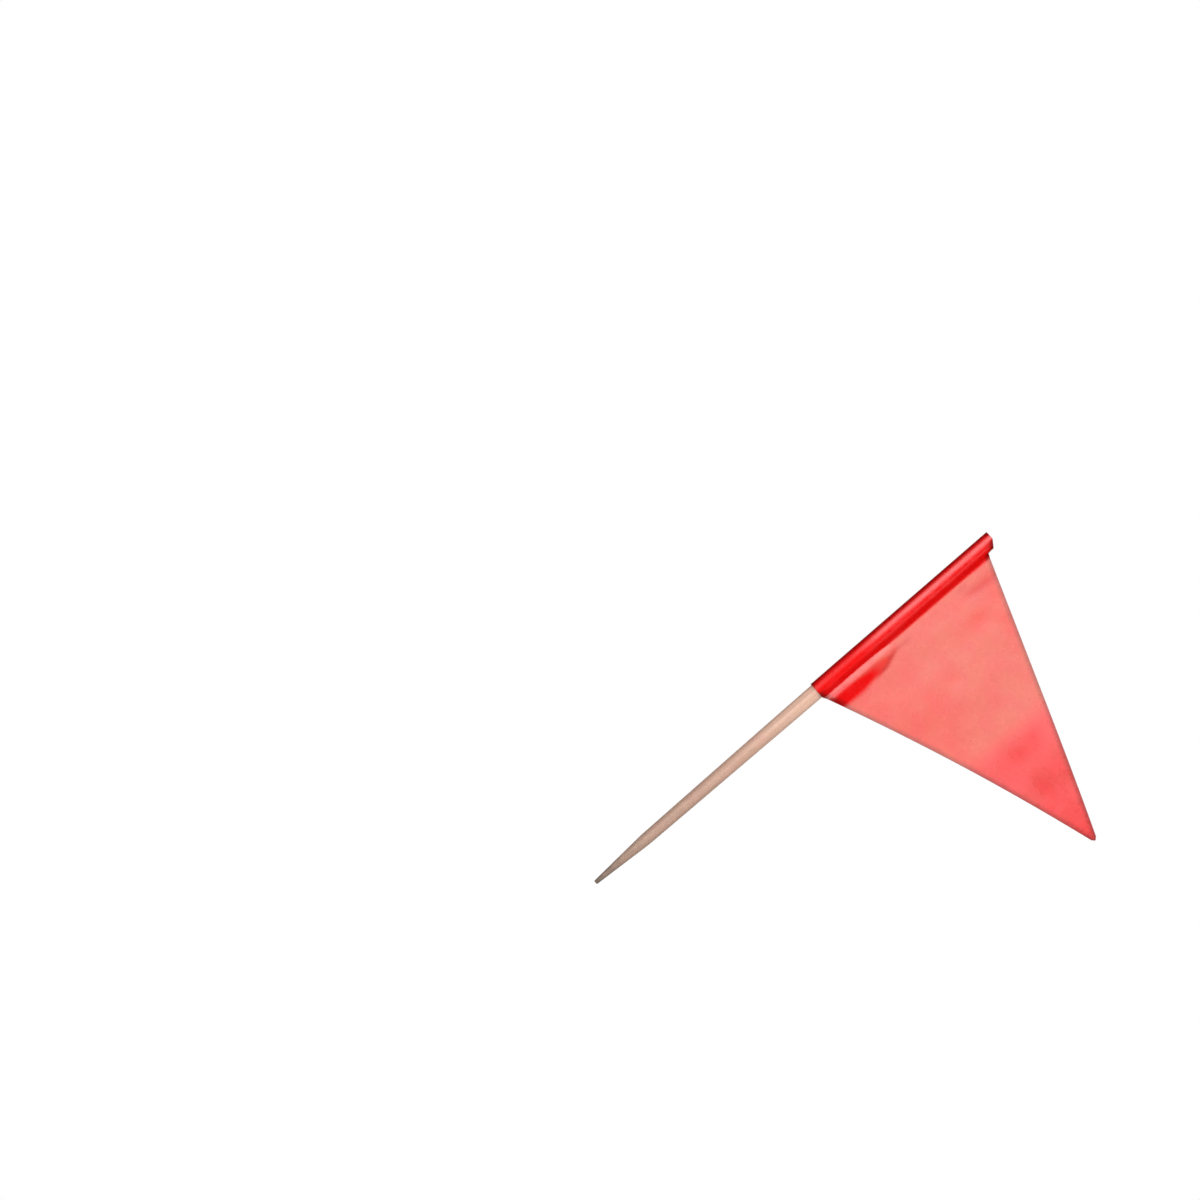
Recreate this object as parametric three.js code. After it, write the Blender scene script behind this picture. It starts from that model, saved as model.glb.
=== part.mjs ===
// Flag toothpick: a sharpened round wooden pick with a pennant of glossy film folded round its upper end.
// Millimetres, +Z up. The pick's point is at the origin, and the pennant flies towards +X, its front facing -Y.

import * as THREE from 'three';

// Pick: a turned stick that thickens slowly from its sharpened end.
const pickLength = 64.25;
const pickRadius = 1;
const shoulderRadius = 0.775;
const sharpenedLength = 8;
const pointRadius = 0.28;
const pointRounding = 0.1;
const taperTop = 35;
const taperPower = 1.15;
const taperRings = 5;
const endChamfer = 0.1;
const pickSides = 32;

// Film and adhesive. A hairline stays open between glued faces, so that each is a solid of its own.
const filmThickness = 0.09;
const coatThickness = 0.04;
const glueLine = 0.02;

// Sleeve: where the sheet goes round the pick, then leaves it on both sides and closes into one leaf.
const sleeveLength = 28.8;
const closingAngle = THREE.MathUtils.degToRad(50);
const rootBend = 0.45;
const wrapSteps = 12;
const rootSteps = 3;

// Pennant outline, seen from the front.
const pennantReach = 36.75;
const endRecess = 0.75;
const collarRise = 1.52;
const collarStep = 0.05;
const collarStepWidth = 0.1;
const collarClipWidth = 0.8;
const collarClipDrop = 0.62;
const lowerArch = 0.6;
const tipRise = 0.4;
const tipWidth = 0.55;

// Leaf: straight beside the pick, then turning back evenly over its outer part.
const leafTurn = THREE.MathUtils.degToRad(18);
const leafTurnLength = 18;
const leafSteps = 12;
const sheetRows = 9;
const rowCrowding = 1.6;

// Buckle: the front film stands off the adhesive in a hump beside the pick, widest at the lower edge.
const buckleRise = 0.38;
const buckleHeight = 10.6;
const buckleRunOut = 3.5;
const buckleWidth = 2.4;
const buckleCrest = 0.55;
const buckleFall = 0.3;
const buckleSoftness = 0.04;
const buckleSteps = 6;

// The sheet's top stands above the pick's cut end.
const sheetTop = pickLength + endRecess;
const sheetBottom = sheetTop - sleeveLength;
const hoistTop = sheetTop - collarRise;
const tipHeight = (hoistTop + sheetBottom) / 2 + tipRise;

// The folded sheet's section starts from the adhesive's inner face: its radius round the pick and
// half the gap that stays between the two halves in the leaf.
const wrapRadius = pickRadius + glueLine;
const leafHalfGap = glueLine / 2;
const filmInside = coatThickness + glueLine;
const filmOutside = filmInside + filmThickness;
const filmMiddle = filmInside + filmThickness / 2;

// Straight run from the pick's side to where the halves meet, shortened by the bend at its end.
const leaveX = wrapRadius * Math.sin(closingAngle);
const leaveY = wrapRadius * Math.cos(closingAngle);
const runToMeeting = (leaveY - leafHalfGap) / Math.sin(closingAngle);
const bendTrim = rootBend * Math.tan(closingAngle / 2);
const rootRun = runToMeeting - bendTrim;
const meetingX = leaveX + runToMeeting * Math.cos(closingAngle);
const closeX = meetingX + bendTrim;
const stepX = leaveX + collarStep * Math.cos(closingAngle);

// The leaf leans to the front at the pick, so that its turned tip is level with the pick's axis.
const turnStart = pennantReach - leafTurnLength;
const turnRadius = leafTurnLength / leafTurn;
const leafLean = Math.atan2(
  turnRadius * (1 - Math.cos(leafTurn)),
  turnStart + turnRadius * Math.sin(leafTurn)
);

// One half of the section as points with outward normals, from behind the pick to the pennant's tip.
function halfSection() {
  const columns = [];
  for (let i = 0; i <= wrapSteps; i++) {
    const turn = (i / wrapSteps) * (Math.PI / 2 + closingAngle);
    columns.push({
      x: -wrapRadius * Math.cos(turn),
      y: wrapRadius * Math.sin(turn),
      nx: -Math.cos(turn),
      ny: Math.sin(turn)
    });
  }

  const slopeX = Math.cos(closingAngle);
  const slopeY = -Math.sin(closingAngle);
  for (const along of [collarStep, collarStep + collarStepWidth, rootRun]) {
    columns.push({
      x: leaveX + along * slopeX,
      y: leaveY + along * slopeY,
      nx: -slopeY,
      ny: slopeX
    });
  }

  const bendCentreY = leafHalfGap + rootBend;
  for (let i = 1; i <= rootSteps; i++) {
    const slant = closingAngle * (1 - i / rootSteps);
    columns.push({
      x: closeX - rootBend * Math.sin(slant),
      y: bendCentreY - rootBend * Math.cos(slant),
      nx: Math.sin(slant),
      ny: Math.cos(slant)
    });
  }

  for (let i = 1; i <= buckleSteps; i++) {
    const x = closeX + (buckleWidth * i) / buckleSteps;
    columns.push({ x, y: leafHalfGap, nx: 0, ny: 1 });
  }

  const farX = closeX + buckleWidth;
  for (let i = 1; i <= leafSteps; i++) {
    const x = farX + ((pennantReach - farX) * i) / leafSteps;
    columns.push({ x, y: leafHalfGap, nx: 0, ny: 1 });
  }
  return columns;
}

// The whole section, from the back leaf's tip round the pick to the front leaf's tip. The front is at -Y.
function foldedSection() {
  const half = halfSection();
  const back = half.slice(1).reverse().map((column) => ({ column, side: 1 }));
  const front = half.map((column) => ({ column, side: -1 }));
  return [...back, ...front];
}

// Turns a point of the straight section to where the leaning, turned leaf holds it.
function bowed(x, y) {
  let px = x;
  let py = y;
  if (x > turnStart) {
    const turn = (x - turnStart) / turnRadius;
    px = turnStart + (turnRadius - y) * Math.sin(turn);
    py = turnRadius - (turnRadius - y) * Math.cos(turn);
  }
  return {
    x: px * Math.cos(leafLean) + py * Math.sin(leafLean),
    y: py * Math.cos(leafLean) - px * Math.sin(leafLean)
  };
}

// Upper and lower edge of the sheet at a distance from the pick's axis. The lower edge is a shallow
// parabola that rises lowerArch above its chord halfway along.
function upperEdge(x) {
  if (x > stepX) {
    const rootX = stepX + collarStepWidth * Math.cos(closingAngle);
    const share = (x - rootX) / (pennantReach - rootX);
    return THREE.MathUtils.lerp(hoistTop, tipHeight + tipWidth / 2, share);
  }
  const clip = (x - stepX + collarClipWidth) / collarClipWidth;
  return sheetTop - collarClipDrop * Math.max(0, clip);
}

function lowerEdge(x) {
  const share = Math.max(0, (x - stepX) / (pennantReach - stepX));
  const arch = 4 * lowerArch * share * (1 - share);
  return THREE.MathUtils.lerp(sheetBottom, tipHeight - tipWidth / 2, share) + arch;
}

// How far the front film stands forward of where it would lie. Towards the pick the hump falls off its
// crest as a parabola, by buckleFall in the first millimetre, and meets the sleeve's side in a soft
// corner. Upwards it runs out.
function buckle(column, z) {
  const x = column.x + filmMiddle * column.nx;
  const y = column.y + filmMiddle * column.ny;
  const height = (z - lowerEdge(column.x)) / buckleHeight;
  const runOut = Math.max(0, 1 - height ** buckleRunOut);
  const crest = closeX + buckleCrest * Math.sqrt(runOut);
  const end = closeX + buckleWidth * Math.sqrt(runOut);
  const rise = buckleRise * runOut * (1 - THREE.MathUtils.smoothstep(x, crest, end));
  const fall = buckleFall * Math.max(0, crest - x) ** 2;
  const gap = Math.max(0, leafHalfGap + filmMiddle + rise - fall - y);
  return gap ** 2 / (gap + buckleSoftness);
}

// A closed sheet that follows the folded section between two depths, counted outwards from its inner face.
function foldedSheet(insideDepth, outsideDepth, rows, standOff) {
  const section = foldedSection();
  const positions = [];
  const faces = [];
  const last = section.length - 1;
  const at = (face, column, row) => (face * section.length + column) * (rows + 1) + row;

  for (const depth of [outsideDepth, insideDepth]) {
    for (const { column, side } of section) {
      for (let row = 0; row <= rows; row++) {
        const share = (row / rows) ** rowCrowding;
        const z = THREE.MathUtils.lerp(lowerEdge(column.x), upperEdge(column.x), share);
        const forward = side < 0 ? standOff(column, z) : 0;
        const place = bowed(
          column.x + depth * column.nx,
          side * (column.y + depth * column.ny + forward)
        );
        positions.push(place.x, place.y, z);
      }
    }
  }

  const quad = (a, b, c, d) => faces.push(a, b, c, a, c, d);
  for (let i = 0; i < last; i++) {
    for (let j = 0; j < rows; j++) {
      quad(at(0, i, j), at(0, i + 1, j), at(0, i + 1, j + 1), at(0, i, j + 1));
      quad(at(1, i, j), at(1, i, j + 1), at(1, i + 1, j + 1), at(1, i + 1, j));
    }
    quad(at(0, i, 0), at(1, i, 0), at(1, i + 1, 0), at(0, i + 1, 0));
    quad(at(0, i, rows), at(0, i + 1, rows), at(1, i + 1, rows), at(1, i, rows));
  }
  for (let j = 0; j < rows; j++) {
    quad(at(0, 0, j), at(0, 0, j + 1), at(1, 0, j + 1), at(1, 0, j));
    quad(at(0, last, j), at(1, last, j), at(1, last, j + 1), at(0, last, j + 1));
  }

  const geometry = new THREE.BufferGeometry();
  geometry.setAttribute('position', new THREE.Float32BufferAttribute(positions, 3));
  geometry.setIndex(faces);
  geometry.computeVertexNormals();
  return geometry;
}

function pickGeometry() {
  const profile = [
    new THREE.Vector2(0, 0),
    new THREE.Vector2(pointRadius - pointRounding, 0),
    new THREE.Vector2(pointRadius, pointRounding)
  ];
  for (let i = 0; i <= taperRings; i++) {
    const share = i / taperRings;
    const radius = pickRadius - (pickRadius - shoulderRadius) * (1 - share) ** taperPower;
    profile.push(new THREE.Vector2(radius, THREE.MathUtils.lerp(sharpenedLength, taperTop, share)));
  }
  profile.push(
    new THREE.Vector2(pickRadius, pickLength - endChamfer),
    new THREE.Vector2(pickRadius - endChamfer, pickLength),
    new THREE.Vector2(0, pickLength)
  );
  return new THREE.LatheGeometry(profile, pickSides).rotateX(Math.PI / 2);
}

function named(name, geometry, color, roughness) {
  const material = new THREE.MeshStandardMaterial({ color, roughness, metalness: 0 });
  const mesh = new THREE.Mesh(geometry, material);
  mesh.name = name;
  return mesh;
}

const noStandOff = () => 0;

const flagPick = new THREE.Group();
flagPick.add(
  named('wooden_pick', pickGeometry(), 0xdbb29c, 0.7),
  named('adhesive_coat', foldedSheet(0, coatThickness, 1, noStandOff), 0xe9c9bd, 0.4),
  named('flag_sheet', foldedSheet(filmInside, filmOutside, sheetRows, buckle), 0xe9302b, 0.25)
);

export default flagPick;
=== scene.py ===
# Flag toothpick: pick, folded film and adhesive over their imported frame, with floor, light and camera.
import math
import bpy
from mathutils import Matrix, Vector, noise


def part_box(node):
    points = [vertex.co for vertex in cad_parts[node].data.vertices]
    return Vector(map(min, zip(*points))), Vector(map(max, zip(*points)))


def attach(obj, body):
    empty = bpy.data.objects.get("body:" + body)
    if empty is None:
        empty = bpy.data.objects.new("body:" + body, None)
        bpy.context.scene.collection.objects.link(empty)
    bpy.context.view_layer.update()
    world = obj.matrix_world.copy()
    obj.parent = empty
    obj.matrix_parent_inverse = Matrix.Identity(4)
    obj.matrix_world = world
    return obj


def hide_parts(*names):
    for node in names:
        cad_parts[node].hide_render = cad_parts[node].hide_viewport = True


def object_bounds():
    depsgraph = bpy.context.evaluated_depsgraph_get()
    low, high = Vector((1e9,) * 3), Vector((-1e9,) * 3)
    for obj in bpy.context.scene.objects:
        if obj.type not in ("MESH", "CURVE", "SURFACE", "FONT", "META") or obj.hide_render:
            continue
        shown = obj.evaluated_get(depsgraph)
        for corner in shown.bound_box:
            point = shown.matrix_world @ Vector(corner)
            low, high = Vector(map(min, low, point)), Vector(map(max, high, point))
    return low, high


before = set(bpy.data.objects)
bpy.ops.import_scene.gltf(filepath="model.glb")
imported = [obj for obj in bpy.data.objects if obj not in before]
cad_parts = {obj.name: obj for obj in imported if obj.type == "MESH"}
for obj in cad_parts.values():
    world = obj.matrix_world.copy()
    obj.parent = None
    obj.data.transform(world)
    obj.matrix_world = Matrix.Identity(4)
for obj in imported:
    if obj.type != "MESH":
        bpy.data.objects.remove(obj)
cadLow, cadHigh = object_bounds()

mm = 0.001
flatScale = 100  # mm of film in one unit of its UV map
scene = bpy.context.scene
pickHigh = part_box("wooden_pick")[1]
sheetLow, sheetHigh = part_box("flag_sheet")

# Floor and view, mm and pixels
floorShape = {"height": -0.1, "radius": 420, "sides": 96, "plainTo": 90, "whiteFrom": 260, "tone": 0.9,
              "roughness": 0.9}
view = {
    "pictureWidth": 1200,  # the picture is square
    "pixelsPerMm": 8.081,
    "pointPixel": (595.5, 882.6),  # where the pick's point falls
    "lean": 49.15,  # degrees clockwise from upright
    "distance": 1200,
    "sensor": 36,
    "clipEnd": 10,  # metres
}


def addCamera():
    lean = math.radians(view["lean"])
    middle = view["pictureWidth"] / 2
    across = (middle - view["pointPixel"][0]) / view["pixelsPerMm"]
    down = (middle - view["pointPixel"][1]) / view["pixelsPerMm"]
    aim = Vector((across * math.cos(lean) + down * math.sin(lean), 0,
                  across * math.sin(lean) - down * math.cos(lean))) * mm
    # The camera stands at floor height, so that the floor is edge on and hides nothing
    place = Vector((aim.x, -view["distance"] * mm, floorShape["height"] * mm))
    back = (place - aim).normalized()
    right = Vector((-math.sin(lean), 0, math.cos(lean))).cross(back).normalized()
    up = back.cross(right)

    bpy.ops.object.camera_add()
    camera = bpy.context.object
    camera.name = "pictureCamera"
    turn = Matrix((right, up, back)).transposed().to_4x4()
    camera.matrix_world = Matrix.Translation(place) @ turn
    camera.data.sensor_width = view["sensor"]
    seen = view["pictureWidth"] / view["pixelsPerMm"]
    camera.data.lens = view["sensor"] * view["distance"] / seen
    camera.data.clip_end = view["clipEnd"]
    scene.camera = camera


addCamera()
print("camera placed")


def smooth(low, high, x):
    t = min(1, max(0, (x - low) / (high - low)))
    return t * t * (3 - 2 * t)


def band(start, end, x):
    # Sets in over the range start, and runs out over the range end
    return smooth(*start, x) * (1 - smooth(*end, x))


def deselectAll():
    if bpy.context.object and bpy.context.object.mode != "OBJECT":
        bpy.ops.object.mode_set(mode="OBJECT")
    bpy.ops.object.select_all(action="DESELECT")


def selectOnly(piece):
    deselectAll()
    piece.select_set(True)
    bpy.context.view_layer.objects.active = piece


def applyModifiers(piece):
    selectOnly(piece)
    for modifier in list(piece.modifiers):
        bpy.ops.object.modifier_apply(modifier=modifier.name)


# Pick, mm: its length and full radius come from the frame
pick = {
    "length": pickHigh.z / mm,
    "radius": pickHigh.x / mm,
    "shoulderRadius": 0.775,
    "sharpened": 8,
    "pointRadius": 0.28,
    "pointRounding": 0.1,
    "taperTop": 35,
    "taperPower": 1.15,
    "chamfer": 0.1,
    "sides": 96,
    "ringGap": 0.8,
    "smoothAngle": 30,
    "unevenness": 0.012,  # share of the radius
    "swellAround": 1.1,
    "swellAlong": 0.06,
    "facets": 0.018,  # depth of the flats that sharpening leaves, share of the radius
    "facetCount": 7,
    "facetTwist": 0.15,  # radians in 1 mm
    "facetFade": (3, 10),  # heights between which the flats run out
    "cornerRound": (0.3, 0.35),  # where a corner's middle ring lies, share of its height and width
}


def pickRadiusAt(z):
    if z < pick["sharpened"]:
        share = max(0, z - pick["pointRounding"]) / (pick["sharpened"] - pick["pointRounding"])
        return pick["pointRadius"] + (pick["shoulderRadius"] - pick["pointRadius"]) * share
    share = min(1, (z - pick["sharpened"]) / (pick["taperTop"] - pick["sharpened"]))
    return pick["radius"] - (pick["radius"] - pick["shoulderRadius"]) * (1 - share) ** pick["taperPower"]


def addPick():
    up, inward = pick["cornerRound"]
    rings = [(0, pick["pointRadius"] - pick["pointRounding"]),
             (pick["pointRounding"] * up, pick["pointRadius"] - pick["pointRounding"] * inward)]
    top = pick["length"] - pick["chamfer"]
    count = math.ceil(top / pick["ringGap"])
    for i in range(count + 1):
        z = pick["pointRounding"] + (top - pick["pointRounding"]) * i / count
        rings.append((z, pickRadiusAt(z)))
    rings.append((pick["length"] - pick["chamfer"] * up, pick["radius"] - pick["chamfer"] * inward))
    rings.append((pick["length"], pick["radius"] - pick["chamfer"]))

    deselectAll()
    height, radius = rings[0]
    bpy.ops.mesh.primitive_circle_add(vertices=pick["sides"], radius=radius * mm, fill_type="NGON")
    piece = bpy.context.object
    piece.name = "turnedPick"
    bpy.ops.object.mode_set(mode="EDIT")
    bpy.ops.mesh.select_all(action="SELECT")
    bpy.ops.mesh.delete(type="ONLY_FACE")
    bpy.ops.mesh.select_all(action="SELECT")
    bpy.ops.mesh.edge_face_add()
    for nextHeight, nextRadius in rings[1:]:
        rise = (nextHeight - height) * mm
        bpy.ops.mesh.extrude_region_move(TRANSFORM_OT_translate={"value": (0, 0, rise)})
        grow = nextRadius / radius
        bpy.ops.transform.resize(value=(grow, grow, 1), center_override=(0, 0, nextHeight * mm))
        height, radius = nextHeight, nextRadius
    bpy.ops.mesh.select_all(action="SELECT")
    bpy.ops.mesh.normals_make_consistent(inside=False)
    bpy.ops.object.mode_set(mode="OBJECT")

    # Turned wood is never quite round: long shallow swells, and faint flats where the end was sharpened
    for vertex in piece.data.vertices:
        spot = vertex.co / mm
        around = math.atan2(spot.y, spot.x)
        wide, high = pick["swellAround"], pick["swellAlong"]
        swell = noise.noise(Vector((math.cos(around) * wide, math.sin(around) * wide, spot.z * high)))
        flats = 0.5 + 0.5 * math.cos(around * pick["facetCount"] + spot.z * pick["facetTwist"])
        flats *= 1 - smooth(*pick["facetFade"], spot.z)
        shrink = 1 - pick["unevenness"] * (0.5 + swell) - pick["facets"] * flats
        vertex.co.x *= shrink
        vertex.co.y *= shrink
    selectOnly(piece)
    bpy.ops.object.shade_smooth_by_angle(angle=math.radians(pick["smoothAngle"]))
    return piece


# Folded sheet, mm and degrees: film outside, adhesive inside, both following one section
sheet = {
    "film": 0.09,
    "adhesive": 0.04,
    "glueLine": 0.02,  # hairline kept open on each glued face
    "closingAngle": 50,
    "rootBend": 0.45,
    "reach": 36.75,
    "collarRise": 1.52,
    "collarStep": 0.05,
    "collarStepWidth": 0.1,
    "collarClipWidth": 0.8,
    "collarClipDrop": 0.62,
    "lowerArch": 0.6,
    "tipRise": 0.4,
    "tipWidth": 0.55,
    "tipCorner": 0.3,  # length over which the cut tip's corners are worn round
    "tipRounding": 0.36,  # how far, as a share of the tip's width
    "turn": 18,
    "turnLength": 18,
    "wrapSteps": 48,
    "runSteps": 4,
    "rootSteps": 8,
    "nearLength": 4,  # the leaf beside the pick, which is meshed finer
    "nearSteps": 26,
    "leafSteps": 92,
    "rows": 84,
    "smoothAngle": 40,
    "buckle": {
        "rise": 0.38,
        "height": 10.6,
        "runOut": 3.5,
        "width": 2.4,
        "crest": 0.55,
        "fall": 0.3,
        "softness": 0.04,
        # The patch under it that holds no glue, without the painted reflection and with painted shade:
        # (height, share loose), then (height, distance) of the line where it starts, (height, width) over
        # which it sets in, and (height, distance) of the lines where it begins and ends to close again
        "loose": [(36, 1), (40.5, 1), (42, 0.91), (43, 0.85), (44, 0.64), (45, 0.58), (46, 0.58),
                  (47, 0.42), (47.6, 0.24), (48.4, 0.12), (50, 0)],
        "patchRoot": [(36, 1.1), (39, 1.15), (40.5, 1.35), (42.5, 1.4), (44, 1.2), (45, 1.9), (46, 2.05),
                      (47, 1.85), (50, 1.9)],
        "patchRise": [(38.5, 0.8), (40, 1.25), (41.5, 1.35), (43.5, 1.35), (45, 0.8)],
        "patchCore": [(36, 3.3), (41, 3.25), (42, 3.05), (43, 3.1), (44, 3.6), (45, 3.4), (46, 2.95),
                      (47, 2.55), (50, 2.4)],
        "patchSide": [(36, 4.25), (41, 4.4), (42, 4.2), (43, 4.15), (44, 3.85), (45, 3.7), (46, 3.25),
                      (47, 2.95), (50, 2.8)],
        # The sharp crease inside the patch's upper side, drawn only as painted shade: (height, distance), and
        # (height, share dark)
        "creaseLine": [(41, 3.75), (43, 3.6), (44, 3.43), (45, 3.27), (45.5, 3.0), (46, 2.82),
                       (46.5, 2.65), (47, 2.55), (50, 2.6)],
        "creaseDark": [(42.5, 0), (44, 0.42), (46, 0.52), (47, 0.24), (49, 0.15), (50, 0)],
        "creaseWidth": 0.2,
        "patchShade": 0.12,  # share dark over the whole patch
    },
    # What lies on the leaf: a soft kink where it starts to turn, waves, dents and patches that hold no glue.
    # Places are (distance from the pick's axis, height) in mm.
    "leafRelief": {
        "kinkAt": 20.15,
        "kinkRise": 0.34,
        "kinkLength": 6,
        "kinkSoftness": 0.55,
        "wave": 0.05,
        "waveTip": 0.10,
        "waveIn": 4,  # the waves set in over this far beside the pick
        "waveFrom": (18, 24),  # where they grow to their height at the tip
        "broadWave": (0.16, 0.13, 4.7),  # scale across, scale upwards, seed
        "fineWave": (0.42, 0.36, 9.2),
        "fineShare": 0.35,
        "dents": [
            {"at": (3.5, 60.6), "size": (0.45, 2.4), "depth": 0.05},
            {"at": (6.6, 57.4), "size": (0.8, 0.9), "depth": 0.05},
            {"at": (10.2, 50.0), "size": (0.7, 0.7), "depth": 0.04},
            {"at": (6.2, 43.2), "size": (0.9, 0.7), "depth": 0.04},
            {"at": (23.2, 49.8), "size": (1.1, 1.7), "depth": 0.09},
            {"at": (23.0, 52.9), "size": (1.0, 1.0), "depth": 0.06},
            {"at": (28.7, 50.0), "size": (1.3, 1.6), "depth": 0.08},
        ],
        # Spots that hold less glue; on the dents their darker red is painted shade, and a negative share
        # paints a lighter spot as painted highlight
        "looseSpots": [
            {"at": (5.0, 61.3), "size": (1.4, 0.9), "share": 0.36},
            {"at": (6.6, 57.3), "size": (1.1, 1.2), "share": 0.42},
            {"at": (10.2, 50.0), "size": (0.7, 0.7), "share": 0.22},
            {"at": (10.3, 46.8), "size": (1.2, 1.0), "share": 0.10},
            {"at": (13.5, 47.6), "size": (1.4, 1.0), "share": 0.10},
            {"at": (7.0, 43.3), "size": (1.3, 1.1), "share": 0.14},
            {"at": (6.4, 39.8), "size": (1.5, 1.2), "share": 0.18},
            {"at": (11.0, 45.2), "size": (6.0, 3.2), "share": 0.10},
            {"at": (12.0, 41.5), "size": (9.0, 4.0), "share": 0.18},
            {"at": (17.5, 44.4), "size": (2.4, 1.3), "share": 0.10},
            {"at": (4.5, 39.4), "size": (0.8, 1.6), "share": 0.17},
            {"at": (8.6, 59.7), "size": (2.3, 0.9), "share": 0.30},
            {"at": (3.7, 56.8), "size": (0.5, 1.6), "share": 0.12},
            {"at": (1.6, 41.2), "size": (0.35, 2.6), "share": 0.3},
            {"at": (2.25, 43.7), "size": (0.25, 1.1), "share": -0.28},
            {"at": (22.1, 49.7), "size": (1.3, 1.8), "share": 0.40},
            {"at": (22.0, 52.8), "size": (1.1, 0.9), "share": 0.22},
            {"at": (24.5, 51.1), "size": (1.0, 2.4), "share": 0.26},
            {"at": (27.3, 50.4), "size": (1.5, 1.6), "share": 0.32},
            {"at": (27.3, 53.1), "size": (1.2, 0.8), "share": 0.18},
            {"at": (30.2, 48.2), "size": (1.2, 0.8), "share": 0.10},
            {"at": (31.5, 50.2), "size": (1.2, 1.2), "share": 0.14},
            {"at": (35.6, 50.2), "size": (2.2, 2.0), "share": 0.42},
        ],
        "creaseEnds": ((-0.2, 0.2), (0.7, 1.15)),  # shares of a crease's length
        # Short creases, drawn only as painted shade and looser glue, not in the relief
        "creases": [
            {"from": (3.85, 62.6), "to": (3.55, 58.0), "width": 0.38, "dark": 0.2, "loose": 0.4},
            {"from": (2.15, 58.9), "to": (2.1, 57.3), "width": 0.22, "dark": 0.15, "loose": 0.10},
            {"from": (2.6, 49.4), "to": (2.75, 48.2), "width": 0.3, "dark": 0.14, "loose": 0.04},
            {"from": (2.35, 44.6), "to": (2.1, 38.1), "width": 0.18, "dark": 0.16, "loose": 0},
        ],
    },
    # Painted shade, painted reflection, glue and dull film. Distances from the pick's axis and heights, mm.
    "paintedLightAndDull": {
        # The outer part's other tone is painted loss of reflection, where the leaf turns away
        "outward": (18, 21.5),  # where the outer part's other tone begins
        # Painted shade: behind the pick, where the film leaves it, at the clipped corner and at the foot
        "fold": {"dark": 0.65, "from": (0.45, 0.85)},  # behind the pick
        "valley": {"dark": 0.14, "from": (0.6, 0.8), "to": (1.05, 1.25)},  # where the film leaves the pick
        "corner": {"reach": 0.75, "from": (-0.15, 0.15), "to": (0.8, 1.05), "fade": 0.4},  # where clipped
        "foot": {"dark": 0.8, "from": (0.2, 0.6)},  # the sleeve's lower end, reaching up as far as the corner
        # The patch's lower end, painted shade where the film is pinched
        "pinch": {"dark": 0.4, "above": (0.25, 0.8), "from": (1.6, 1.9), "to": (2.9, 3.6)},
        # Painted shade towards the tip, where the leaf turns away
        "tip": {"dark": 0.35, "from": (35, 36.4)},
        "dullLow": {"to": (0.8, 1.2), "below": (42, 48.5)},
        "dullSide": {"dull": 0.7, "from": (0.6, 0.9)},
        "dullFront": {"dull": 0.3, "from": (-0.3, 0.1), "to": (0.6, 1), "below": (50, 54)},
        "dullPatch": (1.95, 2.3),
        "glueAndSheen": {"from": (-0.25, 0.15), "late": 0.2, "lateAbove": (58, 62.5)},  # where the leaves meet
        # Painted shade along the cut edge, wider at the patch and narrower in front of the pick
        "patchEdgeShade": {"more": 0.3, "within": 0.6},  # how the dark of the cut edge widens at the patch
        "sleeveEdgeShade": {"more": -0.5, "at": -0.1, "width": 0.5},  # and narrows in front of the pick
    },
}
buckle, leafRelief, paintedLightAndDull = sheet["buckle"], sheet["leafRelief"], sheet["paintedLightAndDull"]

closing = math.radians(sheet["closingAngle"])
wrapRadius = pick["radius"] + sheet["glueLine"]
halfGap = sheet["glueLine"] / 2
leaveX = wrapRadius * math.sin(closing)
leaveY = wrapRadius * math.cos(closing)
runToMeeting = (leaveY - halfGap) / math.sin(closing)
bendTrim = sheet["rootBend"] * math.tan(closing / 2)
rootRun = runToMeeting - bendTrim
meetingX = leaveX + runToMeeting * math.cos(closing)
closeX = meetingX + bendTrim
stepX = leaveX + sheet["collarStep"] * math.cos(closing)
turnStart = sheet["reach"] - sheet["turnLength"]
turnRadius = sheet["turnLength"] / math.radians(sheet["turn"])
leafLean = math.atan2(turnRadius * (1 - math.cos(math.radians(sheet["turn"]))),
                      turnStart + turnRadius * math.sin(math.radians(sheet["turn"])))
sheetTop = sheetHigh.z / mm
sheetBottom = sheetLow.z / mm
hoistTop = sheetTop - sheet["collarRise"]
tipHeight = (hoistTop + sheetBottom) / 2 + sheet["tipRise"]


def halfSection():
    # Points with outward normals, from behind the pick to the pennant's tip
    points = []
    steps = sheet["wrapSteps"]
    for i in range(steps + 1):
        turn = (math.pi / 2 + closing) * i / steps
        across, forward = -math.cos(turn), math.sin(turn)
        points.append((wrapRadius * across, wrapRadius * forward, across, forward))
    slopeX, slopeY = math.cos(closing), -math.sin(closing)
    stepEnd = sheet["collarStep"] + sheet["collarStepWidth"]
    steps = sheet["runSteps"]
    runs = [sheet["collarStep"], stepEnd]
    runs += [stepEnd + (rootRun - stepEnd) * i / steps for i in range(1, steps + 1)]
    for along in runs:
        points.append((leaveX + along * slopeX, leaveY + along * slopeY, -slopeY, slopeX))
    steps = sheet["rootSteps"]
    for i in range(1, steps + 1):
        slant = closing * (1 - i / steps)
        points.append((closeX - sheet["rootBend"] * math.sin(slant),
                       halfGap + sheet["rootBend"] * (1 - math.cos(slant)), math.sin(slant), math.cos(slant)))
    steps = sheet["nearSteps"]
    for i in range(1, steps + 1):
        points.append((closeX + sheet["nearLength"] * i / steps, halfGap, 0, 1))
    start = closeX + sheet["nearLength"]
    steps = sheet["leafSteps"]
    for i in range(1, steps + 1):
        points.append((start + (sheet["reach"] - start) * i / steps, halfGap, 0, 1))
    return points


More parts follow.
